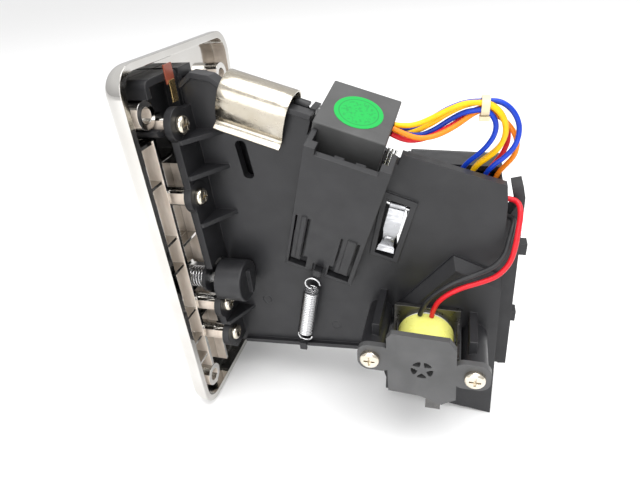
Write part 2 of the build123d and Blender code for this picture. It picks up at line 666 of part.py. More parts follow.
def return_flap():
    body = block(-15.0, 3.8, -7.4, -5.6, -46.8, FLAP_Z) + rod_x(-15.0, 3.8, FLAP_Y, FLAP_Z, 1.4)
    return body - rod_x(-20, 8, FLAP_Y, FLAP_Z, 0.95)


def flap_pin():
    return rod_x(-16.6, 5.4, FLAP_Y, FLAP_Z, 0.9)


def flange_screws():
    screw = pan_head(1.2, 1.2, 7.0, 2.8, 1.9)
    heads = [Pos(POST_X, flange_y(z - 2.8) + FLANGE_T, z) * Rot(-90, 0, 0) * screw for z in POST_Z]
    return Compound(children=heads)


def cover_screws():
    screw = pan_head(1.2, 1.25, 9.0, 3.1, 1.9)
    return Compound(children=[Pos(COVER_X + 2.0, y, z) * Rot(0, 90, 0) * screw for y, z in PILLARS])


# ---- wires ----
# Each route runs from the coil box, through the tie, to the header in the electronics housing.
WIRE_ROUTES = {
    "wire_yellow_front": [
        (8.5, 67.1, 43.6), (7.9, 70.2, 43.0), (7.4, 73.8, 43.5), (6.6, 77.7, 45.2), (6.3, 81.4, 47.2),
        (5.8, 86.0, 49.0), (5.0, 91.0, 48.7), (4.6, 94.4, 46.8), (3.8, 96.8, 43.2), (3.0, 97.4, 39.0),
        (2.4, 96.2, 35.0), (1.7, 93.6, 31.8), (1.1, 90.6, 29.0), (0.5, 88.9, 25.6), (0.2, 88.6, WIRE_END_Z),
    ],
    "wire_yellow_back": [
        (5.8, 66.3, 40.8), (5.4, 69.6, 39.6), (4.9, 73.5, 40.8), (5.0, 77.5, 43.0), (4.6, 81.2, 45.6),
        (4.2, 86.0, 48.0), (3.2, 91.0, 48.6), (2.6, 94.6, 46.6), (2.0, 97.0, 43.0), (1.2, 97.8, 39.0),
        (0.6, 96.6, 35.0), (-0.1, 93.8, 31.8), (-0.8, 90.8, 28.8), (-1.6, 89.2, 25.4), (-1.8, 88.8, WIRE_END_Z),
    ],
    "wire_blue_outer": [
        (6.3, 66.8, 42.4), (4.4, 70.0, 41.2), (3.1, 73.6, 41.7), (3.0, 77.6, 45.0), (2.7, 81.4, 47.4),
        (2.2, 86.0, 49.0), (1.4, 91.0, 48.7), (1.6, 95.2, 48.3), (1.4, 99.0, 45.4), (1.0, 101.2, 40.8),
        (1.4, 100.8, 35.8), (1.8, 98.2, 32.2), (2.3, 95.2, 29.8), (1.6, 92.9, 26.2), (0.2, 92.2, WIRE_END_Z),
    ],
    "wire_blue_inner": [
        (8.0, 66.6, 41.9), (7.4, 70.0, 40.6), (6.0, 73.8, 39.5), (4.6, 78.0, 40.9), (3.9, 81.6, 43.4),
        (4.5, 85.6, 46.0), (5.3, 88.6, 46.8), (5.0, 91.0, 46.9), (4.4, 93.2, 45.3), (3.8, 94.6, 42.6),
        (3.3, 94.5, 39.2), (2.8, 92.9, 35.8), (2.2, 90.6, 32.8), (1.4, 87.8, 30.0), (0.7, 85.9, 26.4),
        (0.2, 85.4, WIRE_END_Z),
    ],
    "wire_red": [
        (9.8, 66.4, 41.4), (8.8, 69.4, 39.3), (7.8, 73.4, 38.8), (6.6, 77.5, 39.8), (5.6, 80.8, 41.4),
        (3.8, 83.8, 42.8), (2.6, 86.6, 44.9), (1.8, 89.6, 46.4), (1.1, 92.4, 46.1), (-0.5, 94.6, 44.6),
        (-1.9, 96.7, 42.2), (-2.5, 98.5, 38.8), (-2.6, 98.9, 35.0), (-2.6, 97.6, 31.0), (-2.6, 95.3, 27.6),
        (-2.6, 93.6, 24.6), (-2.6, 93.2, WIRE_END_Z),
    ],
    "wire_orange": [
        (10.3, 66.9, 43.1), (10.2, 70.0, 41.6), (9.6, 74.0, 40.0), (8.4, 78.0, 40.2), (7.3, 81.5, 41.5),
        (5.6, 84.8, 43.2), (4.1, 87.6, 45.1), (3.5, 90.2, 46.4), (2.7, 92.8, 45.5), (0.9, 95.3, 43.8),
        (-0.3, 97.6, 41.7), (-0.6, 100.0, 38.8), (-0.8, 101.4, 35.2), (-1.1, 101.0, 31.4), (-1.7, 98.9, 28.2),
        (-2.1, 96.9, 25.2), (-2.2, 96.0, WIRE_END_Z),
    ],
}

# From the top of the winding, up past the pillar and round the plate's rear edge into the housing.
LEAD_ROUTES = {
    "lead_red": [
        (18.4, 80.6, -15.9), (19.0, 81.2, -11.0), (19.4, 84.2, -6.4), (18.6, 88.8, -3.4), (17.2, 94.0, -2.0),
        (15.6, 99.0, -0.2), (14.1, 102.2, 4.0), (13.2, 103.0, 9.6), (12.0, 103.2, 14.2), (9.8, 103.6, 17.8),
        (7.2, 103.2, 20.0), (5.6, 101.6, 20.8), (5.4, 98.95, 20.8),
    ],
    "lead_black": [
        (18.2, 76.9, -15.9), (18.9, 78.0, -11.0), (19.2, 81.2, -6.2), (18.8, 86.0, -1.8), (17.4, 92.4, 0.9),
        (15.8, 97.6, 3.1), (14.0, 100.4, 6.8), (12.6, 101.0, 10.4), (10.4, 101.8, 13.2), (7.6, 102.3, 14.8),
        (5.8, 101.4, 15.0), (5.4, 99.25, 15.0),
    ],
}


def wire(name, route, d):
    """Round wire along straight runs joined by tangent arcs."""
    points = [Vector(*p) for p in route]
    radii = []
    for a, b, c in zip(points, points[1:], points[2:]):
        half_turn = radians((b - a).get_angle(c - b) / 2)
        radii.append(0.45 * min((b - a).length, (c - b).length) / tan(half_turn))
    path = FilletPolyline(*points, radius=radii)
    tube = sweep(Plane(origin=path @ 0, z_dir=path % 0) * Circle(d / 2), path=path)
    print(name, "arc radii mm", [round(r, 1) for r in radii], "length mm", round(path.length, 1))
    return tube


def cable_tie():
    """Nylon band round the six wires, with its lock."""
    ring = block(-0.8, 6.9, 90.1, 91.9, 44.3, 50.7) - block(0.1, 6.0, 89.0, 93.0, 45.2, 49.8)
    ring = fillet(ring.edges().filter_by(Axis.Y), 0.4)
    return ring + block(1.0, 3.4, 90.0, 92.4, 50.3, 51.5)


os.makedirs("parts", exist_ok=True)
for name, route in WIRE_ROUTES.items():
    save(name, wire(name, route, WIRE_D))
for name, route in LEAD_ROUTES.items():
    save(name, wire(name, route, LEAD_D))
save("cable_tie", cable_tie())
save("front_bezel", front_bezel())
save("coin_entry_guide", coin_entry_guide())
save("entry_strip", entry_strip())
save("entry_contact", entry_contact())
save("main_plate", main_plate())
save("coin_rail", coin_rail())
save("gate_plate", gate_plate())
save("gate_pin", gate_pin())
save("gate_brackets", gate_brackets())
save("gate_coil", gate_coil())
save("spring_clip", spring_clip())
save("coin_pawl", coin_pawl())
save("pawl_pin", pawl_pin())
save("sensor_carriage", sensor_carriage())
save("coil_box", coil_box())
save("box_coil", box_coil())
save("sensor_pins", sensor_pins())
save("inspection_sticker", inspection_sticker())
save("carriage_spring", carriage_spring())
save("return_button", return_button())
save("button_shaft", button_shaft())
save("plunger_hub", plunger_hub())
save("button_spring", button_spring())
save("spring_seat", spring_seat())
save("solenoid_frame", solenoid_frame())
save("solenoid_bobbin", solenoid_bobbin())
save("solenoid_winding", solenoid_winding())
save("solenoid_plunger", solenoid_plunger())
save("plunger_spring", plunger_spring())
save("accept_blade", accept_blade())
save("solenoid_cover", solenoid_cover())
save("solenoid_can", solenoid_can())
save("clear_guard", clear_guard())
save("pcb_housing", pcb_housing())
save("pcb_cover", pcb_cover())
save("pcb", pcb())
save("connector_header", connector_header())
save("output_header", output_header())
save("ic_chip", ic_chip())
save("capacitor", capacitor())
save("exit_sensors", exit_sensors())
save("housing_screws", housing_screws())
save("strip_arm", strip_arm())
save("arm_pin", arm_pin())
save("return_chute", return_chute())
save("reject_ramp", reject_ramp())
save("return_flap", return_flap())
save("flap_pin", flap_pin())
save("flange_screws", flange_screws())
save("cover_screws", cover_screws())
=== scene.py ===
import json
from math import cos, radians, sin, tau

import bpy
from mathutils import Matrix, Vector


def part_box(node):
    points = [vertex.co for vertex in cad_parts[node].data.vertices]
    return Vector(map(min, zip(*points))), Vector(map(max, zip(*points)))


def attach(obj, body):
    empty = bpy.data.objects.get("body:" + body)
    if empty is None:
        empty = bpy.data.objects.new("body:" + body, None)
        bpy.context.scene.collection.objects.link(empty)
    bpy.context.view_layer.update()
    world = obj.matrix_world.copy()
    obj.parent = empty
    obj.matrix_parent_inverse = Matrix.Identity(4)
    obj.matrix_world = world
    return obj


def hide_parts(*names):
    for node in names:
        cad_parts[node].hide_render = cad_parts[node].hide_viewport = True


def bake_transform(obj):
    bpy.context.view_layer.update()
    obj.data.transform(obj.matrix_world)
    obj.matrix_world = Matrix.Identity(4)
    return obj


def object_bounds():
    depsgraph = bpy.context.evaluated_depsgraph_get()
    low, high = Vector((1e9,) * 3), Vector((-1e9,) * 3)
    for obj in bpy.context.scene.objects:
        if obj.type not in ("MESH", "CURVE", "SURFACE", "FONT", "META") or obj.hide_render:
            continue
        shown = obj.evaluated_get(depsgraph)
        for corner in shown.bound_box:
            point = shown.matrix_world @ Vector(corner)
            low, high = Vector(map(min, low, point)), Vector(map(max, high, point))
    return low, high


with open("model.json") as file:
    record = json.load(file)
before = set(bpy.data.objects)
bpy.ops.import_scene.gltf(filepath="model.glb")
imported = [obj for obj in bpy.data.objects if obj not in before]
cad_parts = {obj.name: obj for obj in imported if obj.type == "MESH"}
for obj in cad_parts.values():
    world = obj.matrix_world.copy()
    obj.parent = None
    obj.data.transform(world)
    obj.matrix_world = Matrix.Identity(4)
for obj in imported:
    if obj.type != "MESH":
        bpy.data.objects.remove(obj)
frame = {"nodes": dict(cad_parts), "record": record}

MM = 0.001
NODES = frame["nodes"]
CAD_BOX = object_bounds()

# Panel-mounted coin acceptor. Same frame as the CAD, in metres; route and profile tables are in mm.
RAMP = radians(18.0)
RAMP_U = Vector((0, cos(RAMP), -sin(RAMP)))
RAMP_V = Vector((0, sin(RAMP), cos(RAMP)))


def ramp_point(x, u, v):
    """Point in mm at x across, u along the coin ramp and v above it."""
    return Vector((x, 0, 0)) + RAMP_U * u + RAMP_V * v


# ---- camera ----
CAMERA_AZIMUTH = radians(107.19)
CAMERA_ELEVATION = radians(30.84)
CAMERA_ROLL = radians(-4.95)
CAMERA_PLACE = Vector((139.71, 83.12, 86.65)) * MM
CAMERA_LENS = 26.81


def add_camera():
    a, e, r = CAMERA_AZIMUTH, CAMERA_ELEVATION, CAMERA_ROLL
    back = Vector((sin(a) * cos(e), -cos(a) * cos(e), sin(e)))
    level = Vector((cos(a), sin(a), 0))
    up = back.cross(level)
    right = level * cos(r) + up * sin(r)
    up = up * cos(r) - level * sin(r)
    camera = bpy.data.objects.new("camera", bpy.data.cameras.new("camera"))
    bpy.context.scene.collection.objects.link(camera)
    turn = Matrix((right, up, back)).transposed().to_4x4()
    turn.translation = CAMERA_PLACE
    camera.matrix_world = turn
    camera.data.sensor_width = 36.0
    camera.data.lens = CAMERA_LENS
    camera.data.shift_y = -0.004
    camera.data.clip_start = 0.01
    camera.data.clip_end = 50.0
    bpy.context.scene.camera = camera


add_camera()


# ---- material helpers ----
LABEL_RING_R = 0.0056
# In the chrome, faces that face +X and lie at x below this limit get the painted sheen.
PAINTED_SHEEN_LIMIT_X = 0.0316
EJECTOR_R = 0.0016
EJECTOR_MARKS = ((0.010, 0.0206, -0.0233), (0.010, 0.0467, -0.0317))


class Shader:
    """One node material, with short calls for the nodes used here."""

    def __init__(self, name, color, rough, metallic=0.0, **sockets):
        self.material = bpy.data.materials.new(name)
        self.material.use_nodes = True
        self.tree = self.material.node_tree
        self.surface = self.tree.nodes["Principled BSDF"]
        self.surface.inputs["Base Color"].default_value = (*color, 1)
        self.surface.inputs["Roughness"].default_value = rough
        self.surface.inputs["Metallic"].default_value = metallic
        for key, value in sockets.items():
            self.surface.inputs[key.replace("_", " ")].default_value = value
        self.color = color
        self.rough = rough
        self.place = self.node("ShaderNodeTexCoord").outputs["Object"]
        self.normal = None

    def node(self, kind, **settings):
        made = self.tree.nodes.new(kind)
        for key, value in settings.items():
            setattr(made, key, value)
        return made

    def link(self, out, into):
        self.tree.links.new(out, into)

    def stretched(self, scale):
        """Object coordinates scaled unevenly."""
        mapping = self.node("ShaderNodeMapping")
        mapping.inputs["Scale"].default_value = scale
        self.link(self.place, mapping.inputs["Vector"])
        return mapping.outputs["Vector"]

    def noise(self, scale, detail=3.0, stretch=None, distortion=0.0):
        texture = self.node("ShaderNodeTexNoise")
        texture.inputs["Scale"].default_value = scale
        texture.inputs["Detail"].default_value = detail
        texture.inputs["Distortion"].default_value = distortion
        self.link(self.stretched(stretch) if stretch else self.place, texture.inputs["Vector"])
        return texture.outputs["Fac"]

    def distance(self, centre):
        """Distance from a point, in metres."""
        away = self.node("ShaderNodeVectorMath", operation="DISTANCE")
        self.link(self.place, away.inputs[0])
        away.inputs[1].default_value = centre
        return away.outputs["Value"]

    def ring(self, away, radius, inner, outer):
        """1 on a circle of that radius, falling to 0 between inner and outer from it."""
        off = self.math("ABSOLUTE", self.math("SUBTRACT", away, radius), 0)
        return self.spread(off, 1, 0, inner, outer)

    def spread(self, value, low, high, start=0.3, end=0.7):
        """value from start..end mapped to low..high."""
        reach = self.node("ShaderNodeMapRange")
        reach.inputs["From Min"].default_value = start
        reach.inputs["From Max"].default_value = end
        reach.inputs["To Min"].default_value = low
        reach.inputs["To Max"].default_value = high
        self.link(value, reach.inputs["Value"])
        return reach.outputs["Result"]

    def math(self, operation, a, b):
        step = self.node("ShaderNodeMath", operation=operation)
        for socket, value in zip(step.inputs, (a, b)):
            if isinstance(value, (int, float)):
                socket.default_value = value
            else:
                self.link(value, socket)
        return step.outputs["Value"]

    def mix(self, fac, a, b):
        """Colour between a and b by fac; each is a colour or a socket."""
        blend = self.node("ShaderNodeMix", data_type="RGBA")
        self.link(fac, blend.inputs["Factor"])
        for socket, value in zip((blend.inputs[6], blend.inputs[7]), (a, b)):
            if isinstance(value, tuple):
                socket.default_value = (*value, 1)
            else:
                self.link(value, socket)
        return blend.outputs[2]

    def tint(self, fac, other):
        """Varies the base colour towards other by fac."""
        self.link(self.mix(fac, self.color, other), self.surface.inputs["Base Color"])

    def vary_rough(self, value, amount):
        low, high = max(self.rough - amount, 0.02), self.rough + amount
        self.link(self.spread(value, low, high), self.surface.inputs["Roughness"])

    def round_edges(self, radius):
        """Softens sharp edges in the shading, as moulding and stamping do."""
        bevel = self.node("ShaderNodeBevel", samples=6)
        bevel.inputs["Radius"].default_value = radius
        self.normal = bevel.outputs["Normal"]
        self.link(self.normal, self.surface.inputs["Normal"])

    def bump(self, height, strength, distance):
        relief = self.node("ShaderNodeBump")
        relief.inputs["Strength"].default_value = strength
        relief.inputs["Distance"].default_value = distance
        self.link(height, relief.inputs["Height"])
        if self.normal:
            self.link(self.normal, relief.inputs["Normal"])
        self.normal = relief.outputs["Normal"]
        self.link(self.normal, self.surface.inputs["Normal"])


def moulded(name, color, rough, grain=0.25, wear=1.6, edge=0.00025, marks=()):
    """Satin plastic: fine spark texture, slow colour drift, rubbed patches, ejector marks."""
    shader = Shader(name, color, rough, Specular_IOR_Level=0.4)
    lighter = tuple(min(c * wear + 0.004, 1) for c in color)
    shader.tint(shader.spread(shader.noise(90, 5, distortion=0.6), 0.0, 0.55, 0.35, 0.75), lighter)
    shader.vary_rough(shader.noise(260, 4), 0.07)
    if edge:
        shader.round_edges(edge)
    shader.bump(shader.noise(5200, 2), grain, 0.00004)
    for centre in marks:
        shader.bump(shader.ring(shader.distance(centre), EJECTOR_R, 0.00005, 0.0003), 0.7, 0.00015)
    return shader.material


def plated(name, color, rough, other, streak=(1, 1, 1), grain=0.12):
    """Bright metal with faint drawing lines and tarnish."""
    shader = Shader(name, color, rough, 1.0)
    shader.tint(shader.spread(shader.noise(140, 5, streak), 0.0, 0.8, 0.3, 0.75), other)
    shader.vary_rough(shader.noise(420, 4, streak), rough * 0.45)
    shader.round_edges(0.00015)
    shader.bump(shader.noise(2600, 3, streak), grain, 0.00003)
    return shader.material


def insulation(name, color, deep):
    """Soft glossy PVC: slightly uneven, with shallow dents."""
    shader = Shader(
        name, color, 0.36, Specular_IOR_Level=0.25, Coat_Weight=0.08, Coat_Roughness=0.2
    )
    shader.tint(shader.spread(shader.noise(320, 3), 0.0, 0.6), deep)
    shader.vary_rough(shader.noise(900, 3), 0.06)
    shader.bump(shader.noise(1400, 3), 0.2, 0.00006)
    return shader.material


def chrome():
    """Mirror plating, with a painted champagne sheen on the ribs' faces that face +X: a warmer, duller,
    less metallic colour standing in for the light they catch.
    """
    shader = Shader("mirror_chrome", (0.62, 0.61, 0.59), 0.08, 1.0)
    facing = shader.node("ShaderNodeSeparateXYZ")
    shader.link(shader.node("ShaderNodeTexCoord").outputs["Normal"], facing.inputs["Vector"])
    place = shader.node("ShaderNodeSeparateXYZ")
    shader.link(shader.place, place.inputs["Vector"])
    # Mask of the faces that face +X inside the rim, where the painted sheen goes; these faces are also
    # made less metallic and rougher.
    side = shader.math("GREATER_THAN", facing.outputs["X"], 0.8)
    inner = shader.math("LESS_THAN", place.outputs["X"], PAINTED_SHEEN_LIMIT_X)
    sheen_mask = shader.math("MULTIPLY", side, inner)
    drift = shader.spread(shader.noise(60, 4), 0.0, 0.6)
    metal = shader.mix(drift, shader.color, (0.50, 0.475, 0.44))
    sheen_streaks = shader.spread(shader.noise(110, 4, (1, 3, 1)), 0.0, 1.0)
    # Painted sheen colour: streaked warm champagne tones standing in for the light on the rib faces.
    painted_sheen = shader.mix(sheen_streaks, (0.92, 0.82, 0.72), (0.74, 0.63, 0.53))
    shader.link(shader.mix(sheen_mask, metal, painted_sheen), shader.surface.inputs["Base Color"])
    metallic = shader.math("SUBTRACT", 1, shader.math("MULTIPLY", sheen_mask, 0.72))
    shader.link(metallic, shader.surface.inputs["Metallic"])
    polish = shader.spread(shader.noise(150, 4), 0.06, 0.12)
    polish_and_sheen_roughness = shader.math("ADD", polish, shader.math("MULTIPLY", sheen_mask, 0.3))
    shader.link(polish_and_sheen_roughness, shader.surface.inputs["Roughness"])
    shader.round_edges(0.0003)
    shader.bump(shader.noise(38, 2), 0.05, 0.0004)
    return shader.material


def green_label():
    """Printed paper disc with a faint ring and a mottled middle."""
    lo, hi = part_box("inspection_sticker")
    shader = Shader("green_label", (0.005, 0.35, 0.058), 0.5, Specular_IOR_Level=0.25)
    away = shader.distance((lo + hi) / 2)
    ring = shader.ring(away, LABEL_RING_R, 0.0001, 0.00022)
    inside = shader.spread(away, 1, 0, 0.0047, 0.0052)
    mottle = shader.math("MULTIPLY", shader.spread(shader.noise(1100, 2), 0, 0.5, 0.5, 0.62), inside)
    mark = shader.math("MAXIMUM", shader.math("MULTIPLY", ring, 0.8), mottle)
    shader.tint(mark, (0.010, 0.19, 0.045))
    shader.bump(shader.noise(900, 3), 0.15, 0.00005)
    return shader.material


def clear_plastic():
    shader = Shader("clear_plastic", (0.9, 0.92, 0.93), 0.16, Transmission_Weight=0.75, IOR=1.46)
    shader.vary_rough(shader.noise(200, 3), 0.08)
    shader.bump(shader.noise(260, 3), 0.25, 0.0002)
    return shader.material


def winding(name, color, deep):
    """Enamelled wire laid side by side along X."""
    shader = Shader(name, color, 0.3, 0.6)
    turns = shader.node("ShaderNodeTexWave", bands_direction="X")
    turns.inputs["Scale"].default_value = 900
    turns.inputs["Distortion"].default_value = 0.6
    shader.link(shader.place, turns.inputs["Vector"])
    shader.tint(turns.outputs["Fac"], deep)
    shader.bump(turns.outputs["Fac"], 0.5, 0.0001)
    return shader.material


def tape():
    """Polyester tape, smooth with faint creases along its length."""
    shader = Shader("yellow_tape", (0.92, 0.91, 0.25), 0.3, Coat_Weight=0.4, Coat_Roughness=0.15)
    shader.tint(shader.spread(shader.noise(120, 3, (1, 3, 3)), 0.0, 0.5), (0.89, 0.85, 0.17))
    shader.vary_rough(shader.noise(300, 3), 0.08)
    shader.bump(shader.noise(240, 4, (0.4, 2, 2)), 0.3, 0.0002)
    return shader.material


def circuit_board():
    """Solder mask with tracks showing through."""
    shader = Shader("circuit_board", (0.03, 0.16, 0.06), 0.32)
    tracks = shader.node("ShaderNodeTexBrick")
    tracks.inputs["Scale"].default_value = 160
    tracks.inputs["Mortar Size"].default_value = 0.06
    shader.link(shader.stretched((0, 1, 1)), tracks.inputs["Vector"])
    shader.tint(tracks.outputs["Fac"], (0.08, 0.30, 0.10))
    shader.bump(tracks.outputs["Fac"], 0.4, 0.00006)
    return shader.material


MATERIALS = {
    "chrome_plate": chrome(),
    "black_abs": moulded("black_abs", (0.013, 0.013, 0.0145), 0.42, edge=0.0004),
    "plate_abs": moulded("plate_abs", (0.013, 0.013, 0.0145), 0.42, edge=0.0004, marks=EJECTOR_MARKS),
    "cover_abs": moulded("cover_abs", (0.060, 0.060, 0.061), 0.44),
    "grey_black_abs": moulded("grey_black_abs", (0.050, 0.050, 0.050), 0.5),
    "clip_nickel": plated("clip_nickel", (0.48, 0.445, 0.385), 0.22, (0.38, 0.34, 0.27), (4, 1, 1), 0.04),
    "screw_nickel": plated("screw_nickel", (0.74, 0.69, 0.59), 0.22, (0.56, 0.49, 0.39)),
    "spring_steel": plated("spring_steel", (0.66, 0.66, 0.67), 0.16, (0.46, 0.46, 0.47)),
    "zinc_leaf": plated("zinc_leaf", (0.40, 0.405, 0.42), 0.34, (0.30, 0.30, 0.31), (1, 1, 3), 0.04),
    "pin_steel": plated("pin_steel", (0.62, 0.62, 0.62), 0.24, (0.48, 0.48, 0.48)),
    "brass": plated("brass", (0.80, 0.58, 0.27), 0.24, (0.60, 0.40, 0.16)),
    "brown_strip": moulded("brown_strip", (0.22, 0.055, 0.032), 0.24, 0.1, 1.5, 0.0001),
    "copper_wire": winding("copper_wire", (0.55, 0.22, 0.08), (0.30, 0.10, 0.03)),
    "yellow_tape": tape(),
    "yellow_pvc": insulation("yellow_pvc", (0.86, 0.49, 0.002), (0.78, 0.38, 0.001)),
    "blue_pvc": insulation("blue_pvc", (0.005, 0.050, 0.50), (0.004, 0.022, 0.28)),
    "red_pvc": insulation("red_pvc", (0.62, 0.012, 0.022), (0.48, 0.008, 0.014)),
    "orange_pvc": insulation("orange_pvc", (0.84, 0.24, 0.012), (0.74, 0.17, 0.008)),
    "black_pvc": insulation("black_pvc", (0.015, 0.015, 0.017), (0.03, 0.03, 0.03)),
    "cream_nylon": moulded("cream_nylon", (0.62, 0.53, 0.36), 0.4, 0.2, 1.1),
    "green_label": green_label(),
    "circuit_board": circuit_board(),
    "white_nylon": moulded("white_nylon", (0.78, 0.77, 0.72), 0.4, 0.2, 1.1),
    "tin_pins": plated("tin_pins", (0.90, 0.90, 0.89), 0.2, (0.78, 0.78, 0.76)),
    "clear_plastic": clear_plastic(),
    "yoke_steel": plated("yoke_steel", (0.16, 0.155, 0.15), 0.36, (0.10, 0.10, 0.10)),
    "aluminium_can": plated("aluminium_can", (0.80, 0.80, 0.80), 0.28, (0.66, 0.66, 0.66)),
}


def piece(name, mesh_or_curve, body, slot, *replaced):
    """A new object in the scene, riding on a body, with a slot's material."""
    made = bpy.data.objects.new(name, mesh_or_curve)
    bpy.context.scene.collection.objects.link(made)
    made.data.materials.append(MATERIALS[slot])
    if replaced:
        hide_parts(*replaced)
    if body:
        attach(made, body)
    return made


# ---- wires ----
WIRE_D = 1.5
LEAD_D = 1.6
HEADER_Z = 21.4
WIRE_END_Z = HEADER_Z + 0.25

# name: (material slot, length, control points from the coil box or winding to the housing)
WIRES = {
    "wire_yellow_front": ("yellow_pvc", 58.0, [
        (8.5, 67.1, 43.6), (7.9, 70.2, 43.0), (7.4, 73.8, 43.5), (6.6, 77.7, 45.2),
        (6.3, 81.4, 47.2), (5.8, 86.0, 49.0), (5.0, 91.0, 48.7), (4.6, 94.4, 46.8),
        (3.8, 96.8, 43.2), (3.0, 97.4, 39.0), (2.4, 96.2, 35.0), (1.7, 93.6, 31.8),
        (1.1, 90.6, 29.0), (0.5, 88.9, 25.6), (0.2, 88.6, WIRE_END_Z),
    ]),
    "wire_yellow_back": ("yellow_pvc", 59.8, [
        (5.8, 66.3, 40.8), (5.4, 69.6, 39.6), (4.9, 73.5, 40.8), (5.0, 77.5, 43.0),
        (4.6, 81.2, 45.6), (4.2, 86.0, 48.0), (3.2, 91.0, 48.6), (2.6, 94.6, 46.6),
        (2.0, 97.0, 43.0), (1.2, 97.8, 39.0), (0.6, 96.6, 35.0), (-0.1, 93.8, 31.8),
        (-0.8, 90.8, 28.8), (-1.6, 89.2, 25.4), (-1.8, 88.8, WIRE_END_Z),
    ]),
    "wire_blue_outer": ("blue_pvc", 63.2, [
        (6.3, 66.8, 42.4), (4.4, 70.0, 40.9), (3.1, 73.6, 41.2), (3.0, 77.6, 44.2),
        (2.7, 81.4, 46.5), (2.2, 86.0, 48.2), (1.4, 91.0, 48.2), (1.6, 95.2, 48.3),
        (1.4, 99.0, 45.4), (1.0, 101.2, 40.8), (1.4, 100.8, 35.8), (1.8, 98.2, 32.2),
        (2.3, 95.2, 29.8), (1.6, 92.9, 26.2), (0.2, 92.2, WIRE_END_Z),
    ]),
    "wire_blue_inner": ("blue_pvc", 56.8, [
        (8.0, 66.6, 41.9), (7.4, 70.0, 40.6), (6.0, 73.8, 39.5), (4.6, 78.0, 40.9),
        (3.9, 81.6, 43.4), (4.5, 85.6, 46.0), (5.3, 88.6, 46.8), (5.0, 91.0, 46.9),
        (4.4, 93.2, 45.3), (3.8, 94.6, 42.6), (3.3, 94.5, 39.2), (2.8, 92.9, 35.8),
        (2.2, 90.6, 32.8), (1.4, 87.8, 30.0), (0.7, 85.9, 26.4), (0.2, 85.4, WIRE_END_Z),
    ]),
    "wire_red": ("red_pvc", 58.5, [
        (9.8, 66.4, 41.4), (8.8, 69.4, 39.3), (7.8, 73.4, 38.8), (6.6, 77.5, 39.8),
        (5.6, 80.8, 41.4), (3.8, 83.8, 42.8), (2.6, 86.6, 44.9), (1.8, 89.6, 46.4),
        (1.1, 92.4, 46.1), (-0.5, 94.6, 44.6), (-1.9, 96.7, 42.2), (-2.5, 98.5, 38.8),
        (-2.6, 98.9, 35.0), (-2.6, 97.6, 31.0), (-2.6, 95.3, 27.6), (-2.6, 93.6, 24.6),
        (-2.6, 93.2, WIRE_END_Z),
    ]),
    "wire_orange": ("orange_pvc", 58.6, [
        (10.3, 66.9, 43.1), (10.2, 70.0, 41.6), (9.6, 74.0, 40.0), (8.4, 78.0, 40.2),
        (7.3, 81.5, 41.5), (5.6, 84.8, 43.2), (4.1, 87.6, 45.1), (3.5, 90.2, 46.4),
        (2.7, 92.8, 45.5), (0.9, 95.3, 43.8), (-0.3, 97.6, 41.7), (-0.6, 100.0, 38.8),
        (-0.8, 101.4, 35.2), (-1.1, 101.0, 31.4), (-1.7, 98.9, 28.2), (-2.1, 96.9, 25.2),
        (-2.2, 96.0, WIRE_END_Z),
    ]),
    "lead_red": ("red_pvc", 55.1, [
        (18.4, 80.6, -15.9), (19.0, 81.2, -11.0), (19.4, 84.2, -6.4), (18.6, 88.8, -3.4),
        (17.2, 94.0, -2.0), (15.6, 99.0, -0.2), (14.1, 102.2, 4.0), (13.2, 103.0, 9.6),
        (12.0, 103.2, 14.2), (9.8, 103.6, 17.8), (7.2, 103.2, 20.0), (5.6, 101.6, 20.8),
        (5.4, 98.95, 20.8),
    ]),
    "lead_black": ("black_pvc", 49.8, [
        (18.2, 76.9, -15.9), (18.9, 78.0, -11.0), (19.2, 81.2, -6.2), (18.8, 86.0, -1.8),
        (17.4, 92.4, 0.9), (15.8, 97.6, 3.1), (14.0, 100.4, 6.8), (12.6, 101.0, 10.4),
        (10.4, 101.8, 13.2), (7.6, 102.3, 14.8), (5.8, 101.4, 15.0), (5.4, 99.25, 15.0),
    ]),
}


def add_wire(node, slot, route):
    d = (LEAD_D if node.startswith("lead") else WIRE_D) * MM
    curve = bpy.data.curves.new(node + "_line", "CURVE")
    curve.dimensions = "3D"
    curve.bevel_depth = d / 2
    curve.bevel_resolution = 5
    curve.use_fill_caps = True
    spline = curve.splines.new("NURBS")
    spline.points.add(len(route) - 1)
    for point, place in zip(spline.points, route):
        point.co = (*(Vector(place) * MM), 1)
    spline.order_u = 3
    spline.use_endpoint_u = True
    spline.resolution_u = 10
    made = piece(node + "_cord", curve, "frame", slot, node)


for node, (slot, length, route) in WIRES.items():
    add_wire(node, slot, route)


# ---- mesh helpers ----
CORNER_ROUND = 0.12


def mesh_of(name, points, faces, smooth=True):
    mesh = bpy.data.meshes.new(name)
    mesh.from_pydata([Vector(p) * MM for p in points], [], faces)
    mesh.polygons.foreach_set("use_smooth", [smooth] * len(mesh.polygons))
    mesh.update()
    return mesh


def sweep_tube(name, line, radius, sides=10):
    """Mesh tube of constant radius along a line of points, in mm, with closed ends."""
    points, faces = [], []
    line = [Vector(p) for p in line]
    across = (line[1] - line[0]).orthogonal().normalized()
    for i, p in enumerate(line):
        ahead = (line[min(i + 1, len(line) - 1)] - line[max(i - 1, 0)]).normalized()
        across = (across - ahead * across.dot(ahead)).normalized()
        third = ahead.cross(across)
        for k in range(sides):
            a = tau * k / sides
            points.append(p + (across * cos(a) + third * sin(a)) * radius)
    for i in range(len(line) - 1):
        for k in range(sides):
            n = (k + 1) % sides
            faces.append((i * sides + k, i * sides + n, (i + 1) * sides + n, (i + 1) * sides + k))
    last = (len(line) - 1) * sides
    faces.append(tuple(range(sides))[::-1])
    faces.append(tuple(range(last, last + sides)))
    return mesh_of(name, points, faces)


